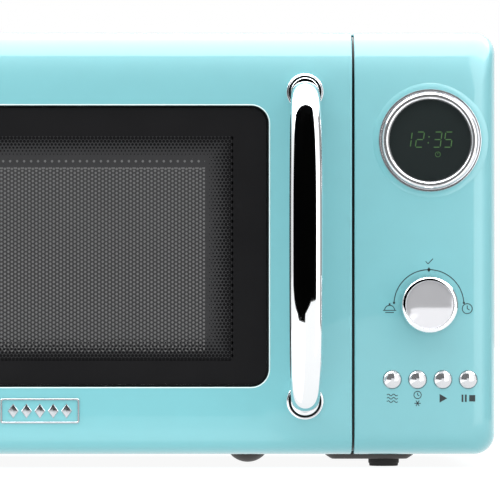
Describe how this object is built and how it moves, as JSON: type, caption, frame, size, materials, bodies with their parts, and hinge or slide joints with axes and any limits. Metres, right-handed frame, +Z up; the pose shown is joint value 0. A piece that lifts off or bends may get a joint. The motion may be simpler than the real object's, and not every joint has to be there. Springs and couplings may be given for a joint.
{
  "type": "microwave oven",
  "caption": "Retro counter-top microwave oven with a bowed glossy front, side-hung windowed door, chrome bow handle, round display, rotary dial and push buttons.",
  "frame": {"origin": "on the standing surface, below the middle of the bounding box", "axes": "+X to the user's right along the width, -Y out of the front, +Z up"},
  "size_m": [0.455, 0.366, 0.2621],
  "materials": {
    "turquoise_shell": "high-gloss painted plastic",
    "turquoise_cabinet": "gloss painted steel sheet",
    "galvanised": "zinc-coated sheet",
    "cavity_enamel": "light grey enamel",
    "chrome_trim": "polished chrome",
    "window_glass": "tinted glass with a printed border",
    "gasket": "black bonding bead",
    "screen": "dark perforated sheet",
    "film": "clear inner film",
    "choke": "dark grey moulded plastic",
    "latch": "white acetal",
    "steel": "bright steel",
    "lens": "smoked display lens",
    "board": "green circuit board",
    "black_plastic": "black moulded plastic",
    "rubber": "black rubber",
    "underside": "dark base paint",
    "tray_glass": "clear moulded glass",
    "roller": "natural heat-proof plastic",
    "aluminium": "cast and finned aluminium",
    "mica": "mica sheet",
    "copper": "lacquered copper and laminations",
    "white_plastic": "white moulded plastic"
  },
  "bodies": {
    "housing": {"wrap_cabinet": "turquoise_cabinet", "base_plate": "underside", "rear_panel": "turquoise_cabinet", "cavity_liner": "cavity_enamel", "front_plate": "cavity_enamel", "hinge_arms": "steel", "foot_pads": "underside", "rubber_feet": "rubber", "base_dish": "underside", "cover_screws": "steel", "cable_gland": "black_plastic", "control_panel": "turquoise_shell", "display_bezel": "chrome_trim", "display_lens": "lens", "display_module": "black_plastic", "control_board": "board", "encoder_body": "steel", "turntable_motor": "galvanised", "waveguide": "galvanised", "waveguide_cover": "mica", "magnetron": "aluminium", "transformer": "copper", "capacitor": "aluminium", "high_voltage_diode": "black_plastic", "noise_filter": "board", "oven_lamp": "white_plastic", "thermal_cutout": "black_plastic", "latch_board": "white_plastic", "microswitches": "black_plastic", "fan_shroud": "galvanised", "fan_motor": "copper"},
    "door": {"door_frame": "turquoise_shell", "window_glass": "window_glass", "window_gasket": "gasket", "door_screen_panel": "screen", "inner_film": "film", "choke_cover": "choke", "latch_spring": "steel", "door_handle": "chrome_trim", "handle_roses": "chrome_trim", "handle_screws": "steel", "door_badge": "chrome_trim"},
    "latch": {"latch_arm": "latch"},
    "push_button_1": {"button_1": "chrome_trim"},
    "push_button_2": {"button_2": "chrome_trim"},
    "push_button_3": {"button_3": "chrome_trim"},
    "push_button_4": {"button_4": "chrome_trim"},
    "plunger": {"encoder_plunger": "steel"},
    "dial": {"knob": "chrome_trim", "knob_shaft": "white_plastic"},
    "drive": {"turntable_coupler": "roller", "turntable_shaft": "steel"},
    "tray": {"glass_tray": "tray_glass"},
    "ring": {"roller_ring": "roller"},
    "wheel_1": {"roller_wheel_1": "roller"},
    "wheel_2": {"roller_wheel_2": "roller"},
    "wheel_3": {"roller_wheel_3": "roller"},
    "rotor": {"fan_blade": "black_plastic"},
    "lever_lower": {"interlock_lever_lower": "white_plastic"},
    "lever_upper": {"interlock_lever_upper": "white_plastic"}
  },
  "joints": [
    {"name": "door_hinge", "type": "hinge", "parent": "housing", "child": "door", "pos_m": [-0.219, -0.1215, 0.135], "axis": [0, 0, -1], "range_deg": [0, 100]},
    {"name": "latch_slide", "type": "slide", "parent": "door", "child": "latch", "axis": [0, 0, 1], "range_m": [0, 0.004], "stiffness_N_per_m": 400, "springref_m": -0.003, "deforming": ["latch_spring"]},
    {"name": "button_1_press", "type": "slide", "parent": "housing", "child": "push_button_1", "axis": [0, 1, 0], "range_m": [0, 0.0012], "stiffness_N_per_m": 500, "springref_m": -0.0004},
    {"name": "button_2_press", "type": "slide", "parent": "housing", "child": "push_button_2", "axis": [0, 1, 0], "range_m": [0, 0.0012], "stiffness_N_per_m": 500, "springref_m": -0.0004},
    {"name": "button_3_press", "type": "slide", "parent": "housing", "child": "push_button_3", "axis": [0, 1, 0], "range_m": [0, 0.0012], "stiffness_N_per_m": 500, "springref_m": -0.0004},
    {"name": "button_4_press", "type": "slide", "parent": "housing", "child": "push_button_4", "axis": [0, 1, 0], "range_m": [0, 0.0012], "stiffness_N_per_m": 500, "springref_m": -0.0004},
    {"name": "knob_push", "type": "slide", "parent": "housing", "child": "plunger", "axis": [0, 1, 0], "range_m": [0, 0.0008], "stiffness_N_per_m": 1500, "springref_m": -0.0004},
    {"name": "knob_turn", "type": "hinge", "parent": "plunger", "child": "dial", "pos_m": [0.1869, -0.155, 0.0982], "axis": [0, -1, 0], "continuous": true},
    {"name": "turntable_spin", "type": "hinge", "parent": "housing", "child": "drive", "pos_m": [-0.0467, 0.0305, 0.033], "axis": [0, 0, 1], "continuous": true},
    {"name": "tray_lift", "type": "slide", "parent": "drive", "child": "tray", "axis": [0, 0, 1], "range_m": [0, 0.03]},
    {"name": "ring_spin", "type": "hinge", "parent": "housing", "child": "ring", "pos_m": [-0.0467, 0.0305, 0.04], "axis": [0, 0, 1], "continuous": true},
    {"name": "wheel_1_spin", "type": "hinge", "parent": "ring", "child": "wheel_1", "pos_m": [0.02951, 0.0745, 0.0401], "axis": [0.866, 0.5, 0], "continuous": true},
    {"name": "wheel_2_spin", "type": "hinge", "parent": "ring", "child": "wheel_2", "pos_m": [-0.12291, 0.0745, 0.0401], "axis": [-0.866, 0.5, 0], "continuous": true},
    {"name": "wheel_3_spin", "type": "hinge", "parent": "ring", "child": "wheel_3", "pos_m": [-0.0467, -0.0575, 0.0401], "axis": [0, -1, 0], "continuous": true},
    {"name": "fan_spin", "type": "hinge", "parent": "housing", "child": "rotor", "pos_m": [0.167, 0.16, 0.158], "axis": [0, 1, 0], "continuous": true},
    {"name": "lever_lower_rock", "type": "hinge", "parent": "housing", "child": "lever_lower", "pos_m": [0.126, -0.086, 0.09], "axis": [1, 0, 0], "range_deg": [0, 6], "stiffness_Nm_per_rad": 0.02, "springref_deg": -2.86},
    {"name": "lever_upper_rock", "type": "hinge", "parent": "housing", "child": "lever_upper", "pos_m": [0.126, -0.086, 0.205], "axis": [1, 0, 0], "range_deg": [0, 6], "stiffness_Nm_per_rad": 0.02, "springref_deg": -2.86}
  ],
  "couplings": [
    {"joint": "ring_spin", "follows": "turntable_spin", "ratio": 0.5},
    {"joint": "wheel_1_spin", "follows": "turntable_spin", "ratio": -6.4706},
    {"joint": "wheel_2_spin", "follows": "turntable_spin", "ratio": -6.4706},
    {"joint": "wheel_3_spin", "follows": "turntable_spin", "ratio": -6.4706}
  ]
}
